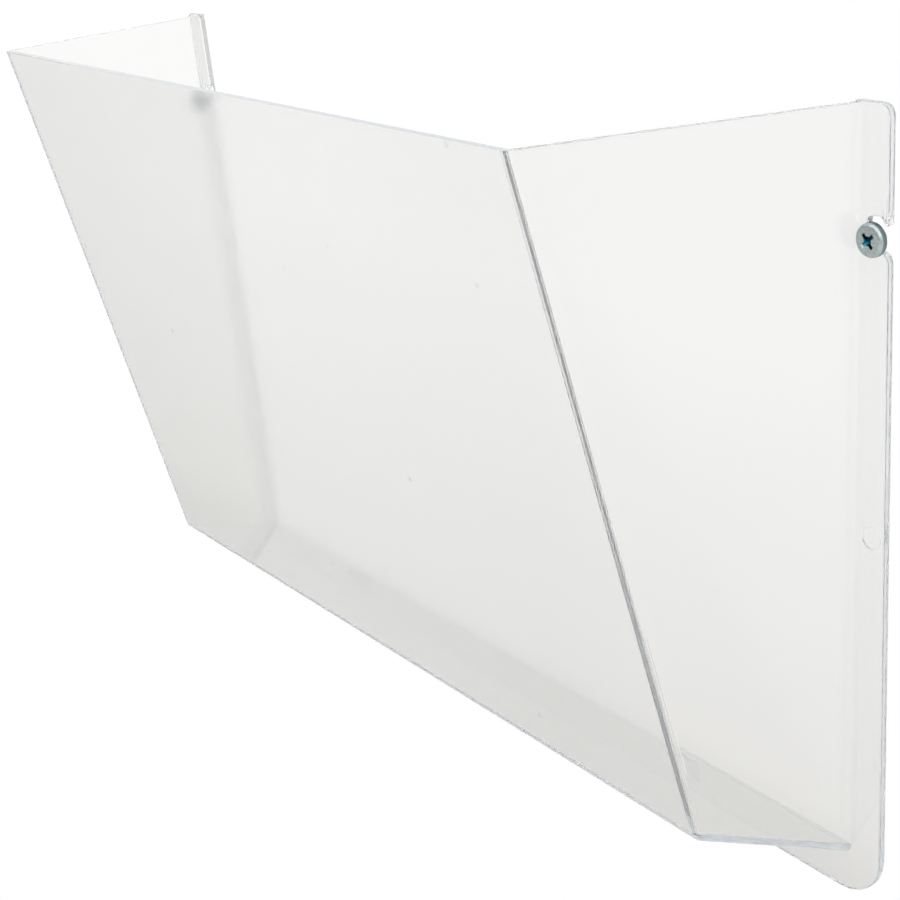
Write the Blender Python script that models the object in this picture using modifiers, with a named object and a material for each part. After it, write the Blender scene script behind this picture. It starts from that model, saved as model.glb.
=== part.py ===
"""A clear moulded wall pocket for magazines, on two screws in wall anchors.

The frame is in metres, +Z up. The wall is the plane Y = 0, the pocket stands out towards -Y,
and the origin is the middle of the wall face of the lip under the pocket's floor.
"""

import math

import bmesh
import bpy
import numpy as np
from mathutils import Vector

MM = 0.001

# Pocket, in millimetres. Heights are counted from the lower edge of the flange.
FLANGE_HEIGHT = 178.3
FLANGE_FOOT_HALF_WIDTH = 138.6
FLANGE_TOP_HALF_WIDTH = 140.0
FLANGE_THICKNESS = 1.8
FLANGE_LOWER_RADIUS = 12.0
FLANGE_UPPER_RADIUS = 2.5
FLANGE_EDGE_RADIUS = 0.35
LIP_HEIGHT = 10.4
WALL = 1.8
BODY_TOP = 178.0
TOP_RISE_PER_MM = 0.032
FRONT_FOOT_DEPTH = 38.2
FRONT_FOOT_HEIGHT = 25.3
FRONT_LEAN_PER_MM = 0.207
SIDE_HALF_WIDTH_AT_FLOOR = 130.2
SIDE_DRAFT_PER_MM_OF_DEPTH = 0.27
SIDE_SPREAD_PER_MM_OF_HEIGHT = 0.019
OUTER_EDGE_RADIUS = 1.7
INNER_EDGE_RADIUS = 0.5
EDGE_SEGMENTS = 4
OVERSHOOT = 10.0

# Hook notch in each side flange: a mouth at the outer edge, and a slot that rises behind a tooth.
NOTCH_INNER_X = 134.5
NOTCH_TOOTH_X = 138.6
NOTCH_FLOOR = 150.3
NOTCH_MOUTH_TOP = 155.4
NOTCH_SLOT_TOP = 156.9
NOTCH_FLOOR_OUTER_RADIUS = 2.4
NOTCH_FLOOR_INNER_RADIUS = 1.0
NOTCH_SLOT_RADIUS = 1.3
TOOTH_RADIUS = 0.45

# Gussets under the floor, and the ejector mark on each side flange.
GUSSET_X = 75.5
GUSSET_WIDTH = 7.0
GUSSET_DEPTH = 6.0
GUSSET_FOOT = 1.2
MARK_X = 135.8
MARK_HEIGHT = 90.1
MARK_RADIUS = 2.5
MARK_DEPTH = 0.35
MARK_SEGMENTS = 28

# Screws: number 6, pan head with a cross recess.
SCREW_X = 136.55
SCREW_HEIGHT = 152.7
HEAD_RADIUS = 3.43
HEAD_HEIGHT = 1.9
HEAD_SHOULDER_RADIUS = 0.85
HEAD_CROWN_RISE = 0.12
HEAD_UNDERCUT = 0.15
HEAD_SEGMENTS = 30
THREAD_RADIUS = 1.75
CORE_RADIUS = 1.2
SCREW_LENGTH = 32.0
POINT_LENGTH = 4.5
THREAD_PITCH = 1.6
THREAD_TURNS = 16
THREAD_STEPS = 10
THREAD_HALF_WIDTH = 0.42
THREAD_START = 1.4
THREAD_ROOT_OVERLAP = 0.25
RECESS_SPAN = 4.1
RECESS_WING = 0.85
RECESS_DEPTH = 1.4
RECESS_TURN = math.radians(41)
RECESS_TIP_SPAN_SHARE = 0.42
RECESS_TIP_WING_SHARE = 0.7
RECESS_CONE_RADIUS = 1.05
RECESS_CONE_TIP_RADIUS = 0.35
RECESS_CONE_SEGMENTS = 16
RECESS_OVERSHOOT = 0.3
CLEARANCE = 0.3

# Anchors: ribbed plastic sleeves, split from the tip.
ANCHOR_LENGTH = 25.0
ANCHOR_RADIUS = 3.0
ANCHOR_TIP_RADIUS = 2.55
ANCHOR_TIP_LENGTH = 1.5
ANCHOR_COLLAR_RADIUS = 3.4
ANCHOR_COLLAR_THICKNESS = 0.9
ANCHOR_BORE_RADIUS = THREAD_RADIUS + CLEARANCE
ANCHOR_CHAMFER = 0.25
ANCHOR_RIB_HEIGHT = 0.35
ANCHOR_RIB_RISE = 0.5
ANCHOR_RIB_SHARE = 0.85
ANCHOR_RIBS = 7
ANCHOR_FIRST_RIB = 4.0
ANCHOR_SEGMENTS = 20
ANCHOR_SPLIT_WIDTH = 0.9
ANCHOR_SPLIT_LENGTH = 15.0

ORIGIN_HEIGHT = LIP_HEIGHT / 2
SIDES = {"left": -1, "right": 1}
TOWARDS_ROOM = (math.radians(90), 0, 0)


def clear_scene():
    for old in list(bpy.data.objects):
        bpy.data.objects.remove(old)


def new_collection(name):
    collection = bpy.data.collections.new(name)
    bpy.context.scene.collection.children.link(collection)
    return collection


def principled(name, colour, roughness, metallic=0.0, transmission=0.0):
    material = bpy.data.materials.new(name)
    material.use_nodes = True
    shader = material.node_tree.nodes["Principled BSDF"]
    shader.inputs["Base Color"].default_value = (*colour, 1)
    shader.inputs["Roughness"].default_value = roughness
    shader.inputs["Metallic"].default_value = metallic
    shader.inputs["Transmission Weight"].default_value = transmission
    return material


def object_from(bm, name, collection):
    mesh = bpy.data.meshes.new(name)
    bm.to_mesh(mesh)
    bm.free()
    made = bpy.data.objects.new(name, mesh)
    collection.objects.link(made)
    return made


def as_cutter(helper):
    helper.hide_render = True
    helper.display_type = "WIRE"
    return helper


def boolean(target, operand, operation):
    modifier = target.modifiers.new(f"{operation.lower()}_{operand.name}", "BOOLEAN")
    modifier.operation = operation
    modifier.object = operand
    modifier.solver = "EXACT"


def smooth(target, angle=35):
    target.data.shade_smooth()
    target.data.set_sharp_from_angle(angle=math.radians(angle))


def evaluated_copy(source, name, collection):
    """A plain mesh object with the shape that source has with its modifiers."""
    graph = bpy.context.evaluated_depsgraph_get()
    graph.update()
    mesh = bpy.data.meshes.new_from_object(source.evaluated_get(graph))
    mesh.name = name
    bm = bmesh.new()
    bm.from_mesh(mesh)
    bmesh.ops.remove_doubles(bm, verts=bm.verts, dist=0.001 * MM)
    bm.to_mesh(mesh)
    bm.free()
    made = bpy.data.objects.new(name, mesh)
    made.matrix_world = source.matrix_world
    collection.objects.link(made)
    bpy.data.objects.remove(source)
    return made


def hopper_planes(inset, top, back):
    """The planes of the pocket's right half, moved inwards by inset: each is a normal and a distance."""
    side = np.array([1, -SIDE_DRAFT_PER_MM_OF_DEPTH, -SIDE_SPREAD_PER_MM_OF_HEIGHT])
    front = np.array([0, -1, -FRONT_LEAN_PER_MM])
    fall = (FRONT_FOOT_HEIGHT - LIP_HEIGHT) / (FRONT_FOOT_DEPTH - FLANGE_THICKNESS)
    floor = np.array([0, -fall, -1])
    lid = np.array([0, TOP_RISE_PER_MM, 1])
    at_floor = np.array([SIDE_HALF_WIDTH_AT_FLOOR, -FLANGE_THICKNESS, LIP_HEIGHT])
    at_foot = np.array([0, -FRONT_FOOT_DEPTH, FRONT_FOOT_HEIGHT])
    at_rim = np.array([0, -FLANGE_THICKNESS, top])
    return {
        "side": (side, side @ at_floor - inset * np.linalg.norm(side)),
        "front": (front, front @ at_foot - inset * np.linalg.norm(front)),
        "floor": (floor, floor @ at_foot - inset * np.linalg.norm(floor)),
        "top": (lid, lid @ at_rim),
        "back": (np.array([0, 1, 0]), back),
    }


def meeting_point(planes, *names):
    normals = [planes[name][0] for name in names]
    distances = [planes[name][1] for name in names]
    return np.linalg.solve(np.array(normals, float), np.array(distances, float))


def hopper(name, collection, inset, top, back, edge_radius):
    """A tapering box between the pocket's planes, with its lower and front edges rounded."""
    planes = hopper_planes(inset, top, back)
    bm = bmesh.new()
    bmesh.ops.create_cube(bm, size=2)
    for vertex in bm.verts:
        depth = "back" if vertex.co.y > 0 else "front"
        height = "top" if vertex.co.z > 0 else "floor"
        x, y, z = meeting_point(planes, "side", depth, height)
        side = math.copysign(1, vertex.co.x)
        vertex.co = Vector((side * x, y, z - ORIGIN_HEIGHT)) * MM
    rounded = [
        edge
        for edge in bm.edges
        if not any(face.normal.y > 0.99 or face.normal.z > 0.9 for face in edge.link_faces)
    ]
    bmesh.ops.bevel(
        bm,
        geom=rounded,
        offset=edge_radius * MM,
        offset_type="OFFSET",
        segments=EDGE_SEGMENTS,
        profile=0.5,
        affect="EDGES",
        clamp_overlap=True,
    )
    return object_from(bm, name, collection)


def rounded_outline(corners, step=math.radians(15)):
    """Points along a chain of (x, z, radius) corners, each of them turned by an arc."""
    points = []
    count = len(corners)
    for index, (x, z, radius) in enumerate(corners):
        here = Vector((x, z))
        before = Vector(corners[index - 1][:2]) - here
        after = Vector(corners[(index + 1) % count][:2]) - here
        half = before.angle(after) / 2
        bisector = (before.normalized() + after.normalized()).normalized()
        centre = here + bisector * (radius / math.sin(half))
        start = here + before.normalized() * (radius / math.tan(half)) - centre
        turn = start.angle_signed(here + after.normalized() * (radius / math.tan(half)) - centre)
        steps = max(2, round(abs(turn) / step))
        for part in range(steps + 1):
            angle = -turn * part / steps
            cosine, sine = math.cos(angle), math.sin(angle)
            points.append(
                centre + Vector((start.x * cosine - start.y * sine, start.x * sine + start.y * cosine))
            )
    return points


def flange_half_width(height):
    share = height / FLANGE_HEIGHT
    return FLANGE_FOOT_HALF_WIDTH + (FLANGE_TOP_HALF_WIDTH - FLANGE_FOOT_HALF_WIDTH) * share


def flange_corners():
    """The right half of the flange's outline from its foot to its top, as (x, height, radius)."""
    return [
        (flange_half_width(0), 0, FLANGE_LOWER_RADIUS),
        (flange_half_width(NOTCH_FLOOR), NOTCH_FLOOR, NOTCH_FLOOR_OUTER_RADIUS),
        (NOTCH_INNER_X, NOTCH_FLOOR, NOTCH_FLOOR_INNER_RADIUS),
        (NOTCH_INNER_X, NOTCH_SLOT_TOP, NOTCH_SLOT_RADIUS),
        (NOTCH_TOOTH_X, NOTCH_SLOT_TOP, NOTCH_SLOT_RADIUS),
        (NOTCH_TOOTH_X, NOTCH_MOUTH_TOP, TOOTH_RADIUS),
        (flange_half_width(NOTCH_MOUTH_TOP), NOTCH_MOUTH_TOP, TOOTH_RADIUS),
        (flange_half_width(FLANGE_HEIGHT), FLANGE_HEIGHT, FLANGE_UPPER_RADIUS),
    ]


def flange_plate(name, collection):
    """A flat plate against the wall, with the notches in its outline."""
    right = flange_corners()
    left = [(-x, z, radius) for x, z, radius in reversed(right)]
    points = rounded_outline(right + left)
    curve = bpy.data.curves.new(name, "CURVE")
    curve.dimensions = "2D"
    curve.fill_mode = "BOTH"
    curve.extrude = (FLANGE_THICKNESS / 2 - FLANGE_EDGE_RADIUS) * MM
    curve.bevel_depth = FLANGE_EDGE_RADIUS * MM
    curve.offset = -FLANGE_EDGE_RADIUS * MM
    curve.bevel_resolution = 1
    spline = curve.splines.new("POLY")
    spline.points.add(len(points) - 1)
    for target, point in zip(spline.points, points):
        target.co = (point.x * MM, (point.y - ORIGIN_HEIGHT) * MM, 0, 1)
    spline.use_cyclic_u = True
    outline = bpy.data.objects.new(name + "_outline", curve)
    outline.rotation_euler = TOWARDS_ROOM
    outline.location = (0, -FLANGE_THICKNESS / 2 * MM, 0)
    collection.objects.link(outline)
    bpy.context.view_layer.update()
    return evaluated_copy(outline, name, collection)


def gusset(name, collection, side):
    """A small wedge in the corner between the lip and the underside of the floor."""
    planes = hopper_planes(WALL / 2, BODY_TOP, 0)
    normal, distance = planes["floor"]
    bm = bmesh.new()
    bmesh.ops.create_cube(bm, size=1)
    for vertex in bm.verts:
        x = side * GUSSET_X + vertex.co.x * GUSSET_WIDTH
        y = -FLANGE_THICKNESS / 2 if vertex.co.y > 0 else -GUSSET_DEPTH
        under_floor = (distance - normal[1] * y) / normal[2]
        foot = GUSSET_FOOT if vertex.co.y > 0 else under_floor - 2 * WALL
        z = under_floor if vertex.co.z > 0 else foot
        vertex.co = Vector((x, y, z - ORIGIN_HEIGHT)) * MM
    return object_from(bm, name, collection)


def ejector_mark(name, collection, side):
    bm = bmesh.new()
    bmesh.ops.create_cone(
        bm,
        cap_ends=True,
        segments=MARK_SEGMENTS,
        radius1=MARK_RADIUS * MM,
        radius2=MARK_RADIUS * MM,
        depth=2 * MARK_DEPTH * MM,
    )
    mark = object_from(bm, name, collection)
    mark.rotation_euler = TOWARDS_ROOM
    mark.location = Vector((side * MARK_X, -FLANGE_THICKNESS, MARK_HEIGHT - ORIGIN_HEIGHT)) * MM
    return mark


def build_pocket(parts, cutters, hanger, material):
    pocket = hopper("pocket", parts, 0, BODY_TOP, -FLANGE_THICKNESS / 2, OUTER_EDGE_RADIUS)
    boolean(pocket, as_cutter(flange_plate("flange", cutters)), "UNION")
    for label, side in SIDES.items():
        boolean(pocket, as_cutter(gusset(f"{label}_gusset", cutters, side)), "UNION")
    above = FLANGE_HEIGHT + OVERSHOOT
    inside = hopper("inside", cutters, WALL, above, OVERSHOOT, INNER_EDGE_RADIUS)
    boolean(pocket, as_cutter(inside), "DIFFERENCE")
    for label, side in SIDES.items():
        boolean(pocket, as_cutter(ejector_mark(f"{label}_mark", cutters, side)), "DIFFERENCE")
    pocket.data.materials.append(material)
    pocket.parent = hanger
    return pocket


def turned(name, collection, profile, segments):
    """A solid of revolution about local Z from (radius, height) points, listed from top to bottom."""
    bm = bmesh.new()
    vertices = [bm.verts.new((radius * MM, 0, height * MM)) for radius, height in profile]
    for upper, lower in zip(vertices, vertices[1:]):
        bm.edges.new((upper, lower))
    made = object_from(bm, name, collection)
    screw = made.modifiers.new("turn", "SCREW")
    screw.axis = "Z"
    screw.angle = math.tau
    screw.steps = segments
    screw.render_steps = segments
    screw.use_merge_vertices = True
    screw.merge_threshold = 0.00001
    return made


def head_profile():
    """A pan head over a plain core that ends in a point."""
    centre_radius = HEAD_RADIUS - HEAD_SHOULDER_RADIUS
    centre_height = HEAD_HEIGHT - HEAD_CROWN_RISE - HEAD_SHOULDER_RADIUS
    crown = [(0, HEAD_HEIGHT), (centre_radius / 2, HEAD_HEIGHT - HEAD_CROWN_RISE / 4)]
    arc = [
        (
            centre_radius + HEAD_SHOULDER_RADIUS * math.sin(angle),
            centre_height + HEAD_SHOULDER_RADIUS * math.cos(angle),
        )
        for angle in (math.radians(step) for step in range(0, 91, 15))
    ]
    underside = [(HEAD_RADIUS, HEAD_UNDERCUT), (HEAD_RADIUS - HEAD_UNDERCUT, 0)]
    shank = [
        (CORE_RADIUS, 0),
        (CORE_RADIUS, POINT_LENGTH - SCREW_LENGTH),
        (0, -SCREW_LENGTH),
    ]
    return crown + arc + underside + shank


def thread(name, collection):
    """One helical ridge with a triangular section, closed at both ends."""
    root = CORE_RADIUS - THREAD_ROOT_OVERLAP
    bm = bmesh.new()
    corners = [
        (root, THREAD_HALF_WIDTH - THREAD_START),
        (THREAD_RADIUS, -THREAD_START),
        (root, -THREAD_HALF_WIDTH - THREAD_START),
    ]
    vertices = [bm.verts.new((radius * MM, 0, height * MM)) for radius, height in corners]
    for index, vertex in enumerate(vertices):
        bm.edges.new((vertex, vertices[(index + 1) % 3]))
    ridge = object_from(bm, name + "_path", collection)
    screw = ridge.modifiers.new("helix", "SCREW")
    screw.axis = "Z"
    screw.angle = math.tau
    screw.screw_offset = -THREAD_PITCH * MM
    screw.iterations = THREAD_TURNS
    screw.steps = THREAD_STEPS
    screw.render_steps = THREAD_STEPS
    closed = evaluated_copy(ridge, name, collection)
    bm = bmesh.new()
    bm.from_mesh(closed.data)
    bmesh.ops.holes_fill(bm, edges=bm.edges, sides=3)
    bmesh.ops.recalc_face_normals(bm, faces=bm.faces)
    bm.to_mesh(closed.data)
    bm.free()
    return closed


def recess_wing(name, collection, turn):
    """One of the two crossed blades of the recess, narrower at its tip."""
    bm = bmesh.new()
    bmesh.ops.create_cube(bm, size=1)
    for vertex in bm.verts:
        upper = vertex.co.z > 0
        span = RECESS_SPAN if upper else RECESS_SPAN * RECESS_TIP_SPAN_SHARE
        width = RECESS_WING if upper else RECESS_WING * RECESS_TIP_WING_SHARE
        height = HEAD_HEIGHT + RECESS_OVERSHOOT if upper else HEAD_HEIGHT - RECESS_DEPTH
        vertex.co = Vector((vertex.co.x * span, vertex.co.y * width, height)) * MM
    wing = object_from(bm, name, collection)
    wing.rotation_euler = (0, 0, turn)
    return wing


def recess_cone(name, collection):
    bm = bmesh.new()
    bmesh.ops.create_cone(
        bm,
        cap_ends=True,
        segments=RECESS_CONE_SEGMENTS,
        radius1=RECESS_CONE_TIP_RADIUS * MM,
        radius2=RECESS_CONE_RADIUS * MM,
        depth=(RECESS_DEPTH + RECESS_OVERSHOOT) * MM,
    )
    cone = object_from(bm, name, collection)
    cone.location = (0, 0, (HEAD_HEIGHT - RECESS_DEPTH / 2) * MM)
    return cone


def screw_mesh(cutters):
    """The finished screw about local Z, head upwards and its seat at Z = 0."""
    blank = turned("screw_blank", cutters, head_profile(), HEAD_SEGMENTS)
    tools = [
        (thread("screw_thread", cutters), "UNION"),
        (recess_wing("recess_wing_a", cutters, RECESS_TURN), "DIFFERENCE"),
        (recess_wing("recess_wing_b", cutters, RECESS_TURN + math.pi / 2), "DIFFERENCE"),
        (recess_cone("recess_cone", cutters), "DIFFERENCE"),
    ]
    for tool, operation in tools:
        boolean(blank, as_cutter(tool), operation)
    bpy.context.view_layer.update()
    finished = evaluated_copy(blank, "screw", cutters)
    for tool, _ in tools:
        bpy.data.objects.remove(tool)
    mesh = finished.data
    bpy.data.objects.remove(finished)
    return mesh


def anchor_profile():
    """The ribbed sleeve's outside from collar to tip, then its bore back to the collar."""
    collar = [
        (ANCHOR_BORE_RADIUS, 0),
        (ANCHOR_COLLAR_RADIUS - ANCHOR_CHAMFER, 0),
        (ANCHOR_COLLAR_RADIUS, -ANCHOR_CHAMFER),
        (ANCHOR_COLLAR_RADIUS, -ANCHOR_COLLAR_THICKNESS),
        (ANCHOR_RADIUS, -ANCHOR_COLLAR_THICKNESS),
    ]
    ribs = []
    last = ANCHOR_LENGTH - ANCHOR_TIP_LENGTH
    rib_length = (last - ANCHOR_FIRST_RIB) / ANCHOR_RIBS
    for index in range(ANCHOR_RIBS):
        depth = ANCHOR_FIRST_RIB + rib_length * index
        radius = ANCHOR_RADIUS + (ANCHOR_TIP_RADIUS - ANCHOR_RADIUS) * index / ANCHOR_RIBS
        ribs.append((radius, -depth))
        ribs.append((radius + ANCHOR_RIB_HEIGHT, -depth - ANCHOR_RIB_RISE))
        ribs.append((radius, -depth - rib_length * ANCHOR_RIB_SHARE))
    tip = [
        (ANCHOR_TIP_RADIUS, -last),
        (ANCHOR_TIP_RADIUS - ANCHOR_CHAMFER, -ANCHOR_LENGTH),
        (ANCHOR_BORE_RADIUS, -ANCHOR_LENGTH),
    ]
    return collar + ribs + tip + [collar[0]]


def build_anchor(name, parts, cutters, holder, material):
    anchor = turned(name, parts, anchor_profile(), ANCHOR_SEGMENTS)
    bm = bmesh.new()
    bmesh.ops.create_cube(bm, size=1)
    for vertex in bm.verts:
        x = vertex.co.x * 4 * ANCHOR_COLLAR_RADIUS
        y = vertex.co.y * ANCHOR_SPLIT_WIDTH
        end = ANCHOR_SPLIT_LENGTH if vertex.co.z > 0 else -OVERSHOOT
        vertex.co = Vector((x, y, end - ANCHOR_LENGTH)) * MM
    split = as_cutter(object_from(bm, f"{name}_split", cutters))
    for moved in (anchor, split):
        moved.parent = holder
        moved.rotation_euler = TOWARDS_ROOM
        moved.location = (0, CLEARANCE * MM, 0)
    boolean(anchor, split, "DIFFERENCE")
    anchor.data.materials.append(material)
    return anchor


def main():
    clear_scene()
    parts = new_collection("magazine_rack")
    cutters = new_collection("cutters")
    clear = principled("clear_plastic", (0.93, 0.94, 0.93), 0.12, transmission=1.0)
    zinc = principled("zinc_plate", (0.66, 0.70, 0.70), 0.28, metallic=1.0)
    nylon = principled("anchor_plastic", (0.72, 0.73, 0.72), 0.5)

    hanger = bpy.data.objects.new("hanger", None)
    parts.objects.link(hanger)
    smooth(build_pocket(parts, cutters, hanger, clear))

    shared = screw_mesh(cutters)
    shared.materials.append(zinc)
    seat = -(FLANGE_THICKNESS + CLEARANCE)
    for label, side in SIDES.items():
        axis = bpy.data.objects.new(f"{label}_axis", None)
        axis.location = Vector((side * SCREW_X, 0, SCREW_HEIGHT - ORIGIN_HEIGHT)) * MM
        parts.objects.link(axis)
        screw = bpy.data.objects.new(f"{label}_screw", shared)
        screw.parent = axis
        screw.location = (0, seat * MM, 0)
        screw.rotation_euler = TOWARDS_ROOM
        parts.objects.link(screw)
        smooth(build_anchor(f"{label}_anchor", parts, cutters, axis, nylon))
        smooth(screw)


main()
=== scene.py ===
"""The looks of the clear wall pocket: materials, floor, wall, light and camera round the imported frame."""

import math

import bpy
from mathutils import Matrix, Vector


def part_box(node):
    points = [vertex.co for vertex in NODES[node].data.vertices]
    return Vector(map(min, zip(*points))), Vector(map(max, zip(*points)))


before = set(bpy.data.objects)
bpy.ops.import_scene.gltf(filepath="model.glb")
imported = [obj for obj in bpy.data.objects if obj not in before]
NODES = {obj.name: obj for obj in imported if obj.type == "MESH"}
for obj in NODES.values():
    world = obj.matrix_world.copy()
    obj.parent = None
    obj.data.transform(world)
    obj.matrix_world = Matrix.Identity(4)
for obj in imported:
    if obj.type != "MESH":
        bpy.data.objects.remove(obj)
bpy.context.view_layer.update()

SCENE = bpy.context.scene

CAMERA_PLACE = (0.36163, -0.24731, 0.23986)
CAMERA_YAW = math.radians(57.38)
CAMERA_PITCH = math.radians(23.985)
CAMERA_ROLL = math.radians(-5.876)
CAMERA_LENS = 70.28
CAMERA_SHIFT_UP = 0.089

WALL_GAP = 0.00015
FLOOR_DROP = 0.42
STAGE_SIZE = 9.0
LIGHT_BOUNCES = 32
PIPED_BOUNCES = 6
SHARP_ANGLE = 32

# Depths below the top of a screw's head, and radii about its axis.
RECESS_RADIUS = 0.0021
RECESS_START = 0.00012
RECESS_END = 0.0015
RIM_RADIUS = 0.0032
SIDE_START = 0.0005
RING_FREQUENCY = 42000.0


class Nodes:
    """A material's or world's node tree, with short calls for adding and joining nodes."""

    def __init__(self, owner):
        owner.use_nodes = True
        self.tree = owner.node_tree
        self.tree.nodes.clear()

    def add(self, kind, inputs=None, **settings):
        node = self.tree.nodes.new(kind)
        for name, value in settings.items():
            setattr(node, name, value)
        for name, value in (inputs or {}).items():
            self.feed(node, name, value)
        return node

    def feed(self, node, name, value):
        socket = node.inputs[name]
        if isinstance(value, bpy.types.NodeSocket):
            self.tree.links.new(value, socket)
        else:
            socket.default_value = value

    def place(self):
        return self.add("ShaderNodeTexCoord").outputs["Object"]

    def math(self, operation, first, second=0.0):
        return self.add("ShaderNodeMath", {0: first, 1: second}, operation=operation).outputs[0]

    def noise(self, scale, detail=3.0, roughness=0.5, vector=None, distortion=0.0):
        inputs = {
            "Vector": vector or self.place(),
            "Scale": scale,
            "Detail": detail,
            "Roughness": roughness,
            "Distortion": distortion,
        }
        return self.add("ShaderNodeTexNoise", inputs).outputs["Fac"]

    def spread(self, value, low, high, from_low=0.0, from_high=1.0, shape="LINEAR"):
        inputs = {
            "Value": value,
            "From Min": from_low,
            "From Max": from_high,
            "To Min": low,
            "To Max": high,
        }
        node = self.add("ShaderNodeMapRange", inputs, interpolation_type=shape)
        return node.outputs["Result"]

    def stretched(self, scale):
        """Object coordinates with a scale of their own along each axis."""
        node = self.add("ShaderNodeMapping", {"Vector": self.place(), "Scale": scale})
        return node.outputs["Vector"]

    def mix(self, factor, first, second):
        node = self.add("ShaderNodeMix", data_type="RGBA")
        self.feed(node, 0, factor)
        self.feed(node, 6, first)
        self.feed(node, 7, second)
        return node.outputs[2]

    def bump(self, height, strength, distance, normal=None):
        inputs = {"Height": height, "Strength": strength, "Distance": distance}
        if normal:
            inputs["Normal"] = normal
        return self.add("ShaderNodeBump", inputs).outputs["Normal"]


def clear_plastic():
    """Moulded clear plastic: a faint haze, slow waviness from the mould, fine scuffs and a few specks.

    A path that has bounced more than PIPED_BOUNCES times inside the sheets ends in a pale blue-grey
    glow. It stands in for the light piped to the edges, which would otherwise run out and be black.
    """
    material = bpy.data.materials.new("clear_plastic")
    n = Nodes(material)
    haze = n.noise(14, 3)
    clouds = n.noise(90, 4)
    scuffs = n.noise(260, 2, 0.6, n.stretched((1, 1, 0.08)), 0.6)
    scuff_lines = n.spread(scuffs, 0, 1, 0.62, 0.7)
    specks = n.add("ShaderNodeTexVoronoi", {"Vector": n.place(), "Scale": 46}).outputs["Distance"]
    speck_dots = n.spread(specks, 1, 0, 0.028, 0.045)
    tone = n.mix(haze, (0.945, 0.945, 0.935, 1), (0.975, 0.975, 0.968, 1))
    tone = n.mix(n.math("MULTIPLY", speck_dots, 0.25), tone, (0.60, 0.62, 0.61, 1))
    rough = n.spread(clouds, 0.045, 0.07)
    rough = n.math("ADD", rough, n.math("MULTIPLY", scuff_lines, 0.03))
    rough = n.math("ADD", rough, n.math("MULTIPLY", speck_dots, 0.2))
    waves = n.bump(n.noise(9, 2), 0.3, 0.0005)
    skin = n.bump(n.noise(700, 2), 0.08, 0.00003, waves)
    shader = n.add(
        "ShaderNodeBsdfPrincipled",
        {
            "Base Color": tone,
            "Roughness": rough,
            "IOR": 1.57,
            "Transmission Weight": 0.93,
            "Normal": skin,
        },
    )
    glow = n.add("ShaderNodeEmission", {"Color": (0.68, 0.72, 0.76, 1), "Strength": 1.0})
    bounces = n.add("ShaderNodeLightPath").outputs["Ray Depth"]
    piped = n.math("GREATER_THAN", bounces, PIPED_BOUNCES)
    mixed = n.add("ShaderNodeMixShader", {0: piped, 1: shader.outputs[0], 2: glow.outputs[0]})
    depth_tint = n.add("ShaderNodeVolumeAbsorption", {"Color": (0.80, 0.86, 0.91, 1), "Density": 8})
    output = n.add("ShaderNodeOutputMaterial")
    n.feed(output, "Surface", mixed.outputs[0])
    n.feed(output, "Volume", depth_tint.outputs[0])
    return material


def radius_about(n, x, z):
    """Distance from a line along Y through (x, z)."""
    parts = n.add("ShaderNodeSeparateXYZ", {0: n.place()}).outputs
    across = n.math("SUBTRACT", parts["X"], x)
    up = n.math("SUBTRACT", parts["Z"], z)
    return n.math("SQRT", n.math("ADD", n.math("MULTIPLY", across, across), n.math("MULTIPLY", up, up)))


def zinc_plate(name, node):
    """Zinc plate with turning rings and mottling, with painted shade round the head's side and in its
    recessed drive.
    """
    low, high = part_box(node)
    middle = (low + high) / 2
    material = bpy.data.materials.new(name)
    n = Nodes(material)
    radius = radius_about(n, middle.x, middle.z)
    depth = n.add("ShaderNodeSeparateXYZ", {0: n.place()}).outputs["Y"]
    # Mask of the recessed drive, which gets painted shade below.
    in_span = n.spread(radius, 1, 0, RECESS_RADIUS, RECESS_RADIUS + 0.00005)
    below_crown = n.spread(depth, 0, 1, low.y + RECESS_START, low.y + RECESS_START + 0.00018)
    above_shank = n.spread(depth, 1, 0, low.y + RECESS_END, low.y + RECESS_END + 0.0002)
    recess_shade = n.math("MULTIPLY", n.math("MULTIPLY", in_span, below_crown), above_shank)
    rings = n.math("SINE", n.math("MULTIPLY", radius, RING_FREQUENCY))
    mottle = n.noise(1500, 4, 0.6)
    tone = n.mix(mottle, (0.40, 0.47, 0.47, 1), (0.68, 0.73, 0.73, 1))
    # Painted shade: the head's side, past RIM_RADIUS and below the shoulder, is darkened to a near-black
    # grey, standing in for a dark reflection.
    side_shade_band = n.spread(radius, 0, 0.85, RIM_RADIUS, RIM_RADIUS + 0.0002)
    below_shoulder = n.spread(depth, 0, 1, low.y + SIDE_START, low.y + SIDE_START + 0.0004)
    tone = n.mix(n.math("MULTIPLY", side_shade_band, below_shoulder), tone, (0.09, 0.13, 0.14, 1))
    # Painted shade: the recessed drive is darkened to a deep teal.
    tone = n.mix(recess_shade, tone, (0.03, 0.22, 0.30, 1))
    rough = n.spread(n.noise(2600, 3), 0.16, 0.34)
    grain = n.bump(rings, 0.10, 0.00003)
    grain = n.bump(mottle, 0.15, 0.00005, grain)
    shader = n.add(
        "ShaderNodeBsdfPrincipled",
        {"Base Color": tone, "Metallic": 1.0, "Roughness": rough, "Normal": grain},
    )
    output = n.add("ShaderNodeOutputMaterial")
    n.feed(output, "Surface", shader.outputs[0])
    return material


def anchor_plastic():
    """Natural nylon: milky, with a fine mould texture and slightly darker mottling."""
    material = bpy.data.materials.new("anchor_plastic")
    n = Nodes(material)
    mottle = n.noise(420, 4, 0.6)
    tone = n.mix(mottle, (0.58, 0.59, 0.57, 1), (0.76, 0.77, 0.75, 1))
    rough = n.spread(n.noise(900, 2), 0.38, 0.55)
    skin = n.bump(n.noise(2200, 3), 0.25, 0.00006)
    shader = n.add("ShaderNodeBsdfPrincipled", {"Base Color": tone, "Roughness": rough, "Normal": skin})
    output = n.add("ShaderNodeOutputMaterial")
    n.feed(output, "Surface", shader.outputs[0])
    return material


def dress(node, material):
    target = NODES[node]
    target.data.materials.clear()
    target.data.materials.append(material)


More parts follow.
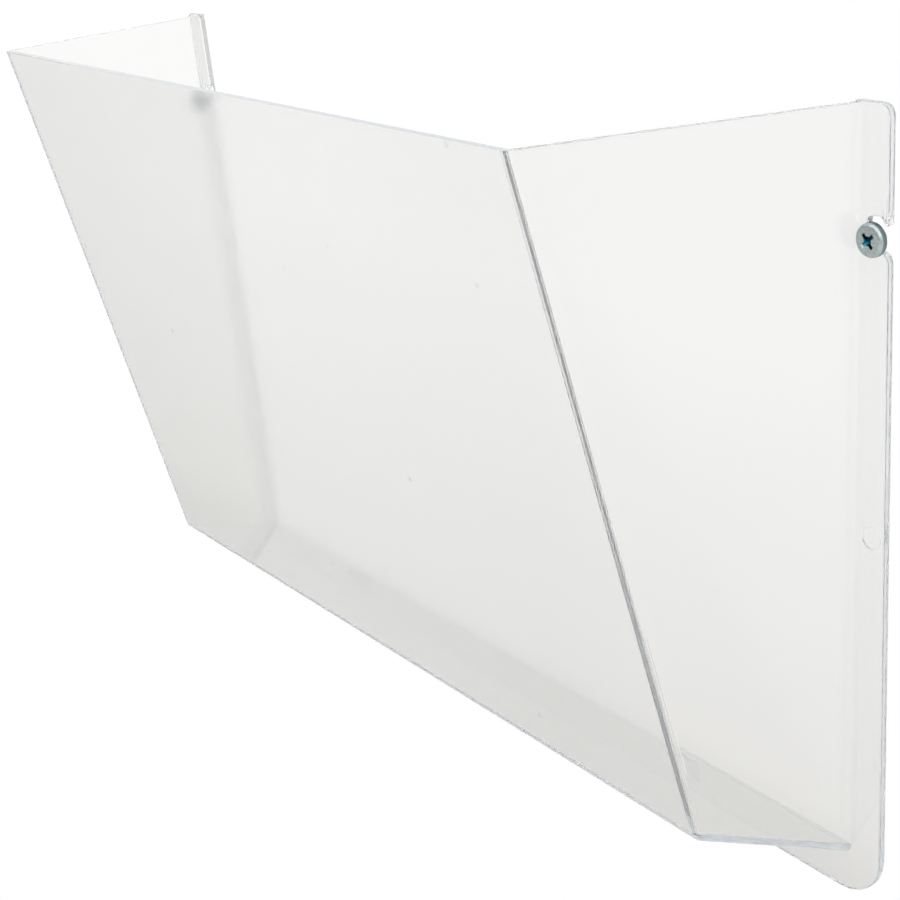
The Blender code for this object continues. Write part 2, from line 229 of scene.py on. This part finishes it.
def stage_sheet(name, place, turn, material):
    bpy.ops.mesh.primitive_plane_add(size=STAGE_SIZE, location=place, rotation=turn)
    sheet = bpy.context.object
    sheet.name = name
    sheet.data.materials.append(material)


def wall_material():
    """A glowing wall that is white to the camera; seen through the plastic it carries painted light and
    shade.

    From behind it is clear, so that the anchors and screws show.
    """
    material = bpy.data.materials.new("wall")
    n = Nodes(material)
    parts = n.add("ShaderNodeSeparateXYZ", {0: n.place()}).outputs
    # Painted light and shade, seen only through the plastic: brighter towards the top, darker at the wall's
    # foot, brighter at the far left.
    up = n.spread(parts["Y"], 0.85, 0.975, 0.01, 0.12)
    foot_shade = n.spread(parts["Y"], -0.11, 0, -0.006, 0.012)
    far_left_light = n.spread(parts["X"], 0.06, 0, -0.13, 0.02)
    painted_light_and_shade = n.math("ADD", n.math("ADD", up, foot_shade), far_left_light)
    seen = n.add("ShaderNodeLightPath").outputs["Is Camera Ray"]
    strength = n.math("MAXIMUM", painted_light_and_shade, seen)
    # Painted light: a slightly warmer tint towards the wall's foot, seen only through the plastic.
    cool = n.math("MAXIMUM", n.spread(parts["Y"], 0, 1, 0, 0.1), seen)
    tone = n.mix(cool, (1, 0.99, 0.972, 1), (1, 1, 1, 1))
    paint = n.add("ShaderNodeEmission", {"Color": tone, "Strength": strength})
    nothing = n.add("ShaderNodeBsdfTransparent")
    behind = n.add("ShaderNodeNewGeometry").outputs["Backfacing"]
    mixed = n.add("ShaderNodeMixShader", {0: behind, 1: paint.outputs[0], 2: nothing.outputs[0]})
    output = n.add("ShaderNodeOutputMaterial")
    n.feed(output, "Surface", mixed.outputs[0])
    return material


def floor_material():
    """A plain pale floor with a slow variation in tone."""
    material = bpy.data.materials.new("floor")
    n = Nodes(material)
    tone = n.mix(n.noise(6, 3), (0.70, 0.70, 0.695, 1), (0.74, 0.74, 0.735, 1))
    shader = n.add("ShaderNodeBsdfDiffuse", {"Color": tone})
    output = n.add("ShaderNodeOutputMaterial")
    n.feed(output, "Surface", shader.outputs[0])
    return material


def make_stage():
    stage_sheet("wall", (0, WALL_GAP, 0), (math.radians(90), 0, 0), wall_material())
    stage_sheet("floor", (0, 0, -FLOOR_DROP), (0, 0, 0), floor_material())


def make_world():
    """A white studio that is a little darker towards the room and below."""
    world = bpy.data.worlds.new("studio")
    SCENE.world = world
    n = Nodes(world)
    direction = n.add("ShaderNodeTexCoord").outputs["Generated"]
    parts = n.add("ShaderNodeSeparateXYZ", {0: direction}).outputs
    upper = n.spread(parts["Z"], 0.35, 0.9, -0.2, 0.9, "SMOOTHSTEP")
    right = n.spread(parts["X"], 0, 0.35, -0.2, 1.0, "SMOOTHSTEP")
    seen = n.add("ShaderNodeLightPath").outputs["Is Camera Ray"]
    strength = n.math("MAXIMUM", n.math("ADD", upper, right), seen)
    background = n.add("ShaderNodeBackground", {"Color": (1, 1, 1, 1), "Strength": strength})
    output = n.add("ShaderNodeOutputWorld")
    n.feed(output, "Surface", background.outputs[0])


def area_light(name, place, target, size, power):
    light = bpy.data.lights.new(name, "AREA")
    light.shape = "RECTANGLE"
    light.size = size[0]
    light.size_y = size[1]
    light.energy = power
    lamp = bpy.data.objects.new(name, light)
    lamp.location = place
    lamp.rotation_euler = (Vector(target) - Vector(place)).to_track_quat("-Z", "Y").to_euler()
    lamp.visible_camera = False
    SCENE.collection.objects.link(lamp)


def make_lights():
    area_light("key", (1.2, -0.5, 1.4), (0.6, 0, -0.3), (3.0, 3.0), 14)
    area_light("fill", (-0.8, -1.4, 1.3), (0, 0, 0.08), (0.7, 0.7), 3)


def make_camera():
    lens = bpy.data.cameras.new("camera")
    lens.lens = CAMERA_LENS
    lens.shift_y = CAMERA_SHIFT_UP
    lens.clip_start = 0.01
    camera = bpy.data.objects.new("camera", lens)
    SCENE.collection.objects.link(camera)
    turn = Matrix.Rotation(CAMERA_YAW, 4, "Z")
    tilt = Matrix.Rotation(math.radians(90) - CAMERA_PITCH, 4, "X")
    roll = Matrix.Rotation(CAMERA_ROLL, 4, "Z")
    camera.matrix_world = Matrix.Translation(CAMERA_PLACE) @ turn @ tilt @ roll
    SCENE.camera = camera


def shade(node):
    NODES[node].data.shade_smooth()
    NODES[node].data.set_sharp_from_angle(angle=math.radians(SHARP_ANGLE))


def main():
    SCENE.view_settings.view_transform = "Standard"
    SCENE.cycles.max_bounces = LIGHT_BOUNCES
    SCENE.cycles.transmission_bounces = LIGHT_BOUNCES
    SCENE.cycles.glossy_bounces = LIGHT_BOUNCES
    dress("pocket", clear_plastic())
    nylon = anchor_plastic()
    for side in ("left", "right"):
        dress(f"{side}_screw", zinc_plate(f"{side}_zinc_plate", f"{side}_screw"))
        dress(f"{side}_anchor", nylon)
    for node in NODES:
        shade(node)
    make_stage()
    make_world()
    make_lights()
    make_camera()


main()
